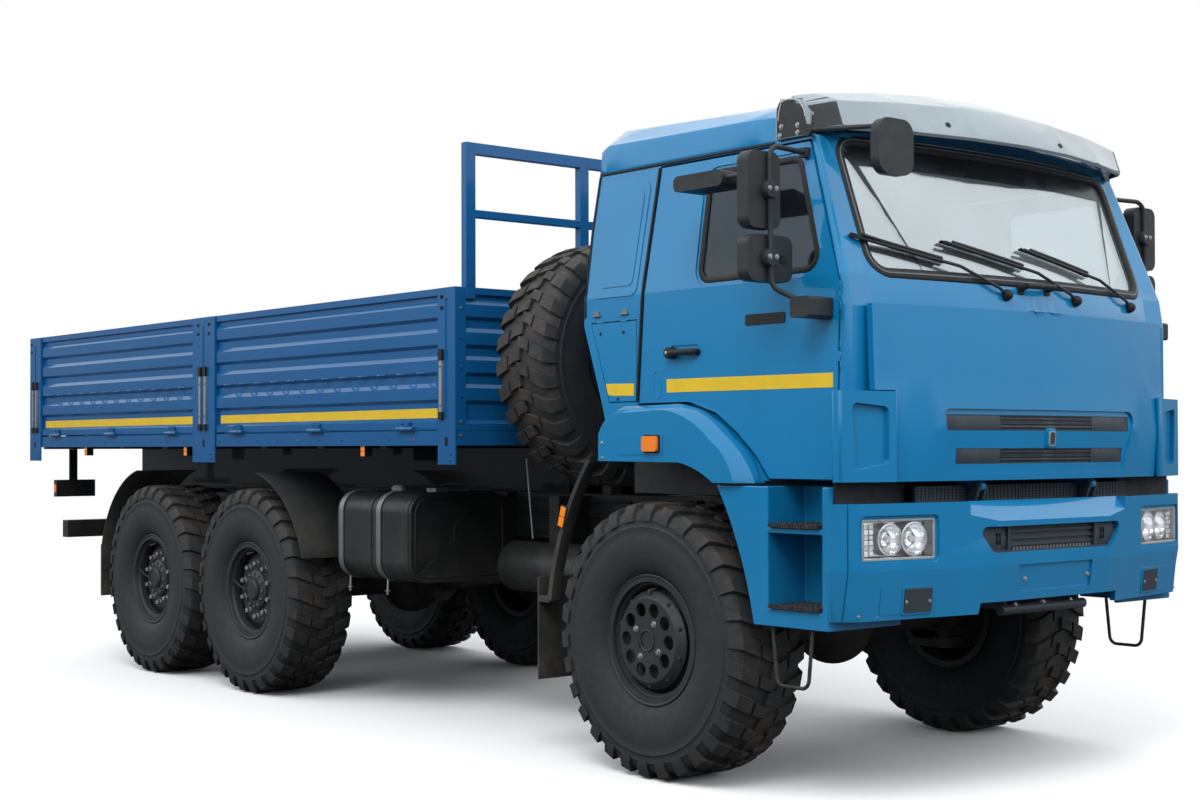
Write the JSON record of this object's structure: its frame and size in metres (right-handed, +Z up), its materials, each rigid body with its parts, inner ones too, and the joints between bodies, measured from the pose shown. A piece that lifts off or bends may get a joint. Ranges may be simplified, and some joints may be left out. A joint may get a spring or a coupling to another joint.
{
  "type": "six-wheel-drive cargo truck",
  "caption": "Cab-over cargo truck with driven axles, big cross-country tyres, a tilting cab with steps and visor, and a dropside bed behind an upright spare wheel.",
  "frame": {"origin": "on the ground under the middle of the truck's bounding box", "axes": "+X forward, +Y to the truck's left, +Z up"},
  "size_m": [8.234, 2.904, 3.055],
  "materials": {
    "cab_paint": "gloss blue paint",
    "bed_paint": "gloss blue paint on pressed steel",
    "black_paint": "satin black chassis paint",
    "rim_paint": "satin black paint",
    "cast_metal": "painted cast metal",
    "tyre_rubber": "dusty tread rubber",
    "black_plastic": "grained black plastic",
    "visor_plastic": "glossy pale grey plastic",
    "grille_grey": "dark grey plastic",
    "lamp_amber": "amber lens",
    "lamp_clear": "clear lens",
    "window_glass": "tinted glass",
    "seat_cloth": "woven cloth"
  },
  "bodies": {
    "chassis": {"frame_rails": "black_paint", "front_suspension": "cast_metal", "rear_suspension": "cast_metal", "engine_block": "cast_metal", "drive_shafts": "black_paint", "fuel_tank": "black_paint", "side_boxes": "black_paint", "spare_carrier": "black_paint", "spare_tyre": "tyre_rubber", "spare_rim": "rim_paint", "rear_mudguards": "black_plastic", "front_mudguards": "black_plastic", "bed_floor": "bed_paint", "bed_posts": "bed_paint", "headboard": "bed_paint", "lamps": "lamp_clear", "bumper": "cab_paint", "bumper_beam": "grille_grey", "cab_steps": "cab_paint", "step_treads": "black_paint"},
    "cab": {"cab_shell": "cab_paint", "cab_roof": "cab_paint", "windshield": "window_glass", "dashboard": "black_plastic", "seats": "seat_cloth", "fenders": "cab_paint", "sun_visor": "visor_plastic", "roof_lamps": "lamp_amber", "front_mirror": "black_plastic", "wipers": "black_plastic", "corner_deflectors": "cab_paint"},
    "front_panel": {"front_panel": "cab_paint", "grille": "grille_grey"},
    "tailgate": {"tailgate": "bed_paint"},
    "knuckle_right": {"knuckle_right": "cast_metal"},
    "wheel_front_right": {"tyre_front_right": "tyre_rubber", "rim_front_right": "rim_paint"},
    "wheel_middle_right": {"tyre_middle_right": "tyre_rubber", "rim_middle_right": "rim_paint"},
    "wheel_rear_right": {"tyre_rear_right": "tyre_rubber", "rim_rear_right": "rim_paint"},
    "door_right": {"door_right": "cab_paint", "door_glass_right": "window_glass", "mirrors_right": "black_plastic"},
    "locker_flap_right": {"locker_flap_right": "cab_paint"},
    "dropside_front_right": {"dropside_front_right": "bed_paint"},
    "dropside_rear_right": {"dropside_rear_right": "bed_paint"},
    "knuckle_left": {"knuckle_left": "cast_metal"},
    "wheel_front_left": {"tyre_front_left": "tyre_rubber", "rim_front_left": "rim_paint"},
    "wheel_middle_left": {"tyre_middle_left": "tyre_rubber", "rim_middle_left": "rim_paint"},
    "wheel_rear_left": {"tyre_rear_left": "tyre_rubber", "rim_rear_left": "rim_paint"},
    "door_left": {"door_left": "cab_paint", "door_glass_left": "window_glass", "mirrors_left": "black_plastic"},
    "locker_flap_left": {"locker_flap_left": "cab_paint"},
    "dropside_front_left": {"dropside_front_left": "bed_paint"},
    "dropside_rear_left": {"dropside_rear_left": "bed_paint"}
  },
  "joints": [
    {"name": "cab_tilt", "type": "hinge", "parent": "chassis", "child": "cab", "pos_m": [4, 0, 1.32], "axis": [0, 1, 0], "range_deg": [0, 50]},
    {"name": "front_panel_lift", "type": "hinge", "parent": "cab", "child": "front_panel", "pos_m": [4.0627, 0, 2.0727], "axis": [0, -1, 0], "range_deg": [0, 85]},
    {"name": "tailgate_drop", "type": "hinge", "parent": "chassis", "child": "tailgate", "pos_m": [-4.105, 0, 1.587], "axis": [0, -1, 0], "range_deg": [0, 175]},
    {"name": "steer_right", "type": "hinge", "parent": "chassis", "child": "knuckle_right", "pos_m": [2.785, -0.86, 0.622], "axis": [0, 0, 1], "range_deg": [-28, 28]},
    {"name": "wheel_front_right_spin", "type": "hinge", "parent": "knuckle_right", "child": "wheel_front_right", "pos_m": [2.785, -1.03, 0.622], "axis": [0, 1, 0], "continuous": true},
    {"name": "wheel_middle_right_spin", "type": "hinge", "parent": "chassis", "child": "wheel_middle_right", "pos_m": [-0.905, -1.025, 0.622], "axis": [0, 1, 0], "continuous": true},
    {"name": "wheel_rear_right_spin", "type": "hinge", "parent": "chassis", "child": "wheel_rear_right", "pos_m": [-2.225, -1.025, 0.622], "axis": [0, 1, 0], "continuous": true},
    {"name": "door_right_swing", "type": "hinge", "parent": "cab", "child": "door_right", "pos_m": [3.883, -1.141, 1.9], "axis": [0, 0, 1], "range_deg": [0, 65]},
    {"name": "locker_flap_right_lift", "type": "hinge", "parent": "cab", "child": "locker_flap_right", "pos_m": [2.47, -1.141, 2.072], "axis": [-1, 0, 0], "range_deg": [0, 100]},
    {"name": "dropside_front_right_drop", "type": "hinge", "parent": "chassis", "child": "dropside_front_right", "pos_m": [0.035, -1.281, 1.587], "axis": [1, 0, 0], "range_deg": [0, 175]},
    {"name": "dropside_rear_right_drop", "type": "hinge", "parent": "chassis", "child": "dropside_rear_right", "pos_m": [-2.665, -1.281, 1.587], "axis": [1, 0, 0], "range_deg": [0, 175]},
    {"name": "steer_left", "type": "hinge", "parent": "chassis", "child": "knuckle_left", "pos_m": [2.785, 0.86, 0.622], "axis": [0, 0, 1], "range_deg": [-28, 28]},
    {"name": "wheel_front_left_spin", "type": "hinge", "parent": "knuckle_left", "child": "wheel_front_left", "pos_m": [2.785, 1.03, 0.622], "axis": [0, 1, 0], "continuous": true},
    {"name": "wheel_middle_left_spin", "type": "hinge", "parent": "chassis", "child": "wheel_middle_left", "pos_m": [-0.905, 1.025, 0.622], "axis": [0, 1, 0], "continuous": true},
    {"name": "wheel_rear_left_spin", "type": "hinge", "parent": "chassis", "child": "wheel_rear_left", "pos_m": [-2.225, 1.025, 0.622], "axis": [0, 1, 0], "continuous": true},
    {"name": "door_left_swing", "type": "hinge", "parent": "cab", "child": "door_left", "pos_m": [3.883, 1.141, 1.9], "axis": [0, 0, -1], "range_deg": [0, 65]},
    {"name": "locker_flap_left_lift", "type": "hinge", "parent": "cab", "child": "locker_flap_left", "pos_m": [2.47, 1.141, 2.072], "axis": [1, 0, 0], "range_deg": [0, 100]},
    {"name": "dropside_front_left_drop", "type": "hinge", "parent": "chassis", "child": "dropside_front_left", "pos_m": [0.035, 1.281, 1.587], "axis": [-1, 0, 0], "range_deg": [0, 175]},
    {"name": "dropside_rear_left_drop", "type": "hinge", "parent": "chassis", "child": "dropside_rear_left", "pos_m": [-2.665, 1.281, 1.587], "axis": [-1, 0, 0], "range_deg": [0, 175]}
  ],
  "couplings": [
    {"joint": "steer_left", "follows": "steer_right", "ratio": 1}
  ]
}
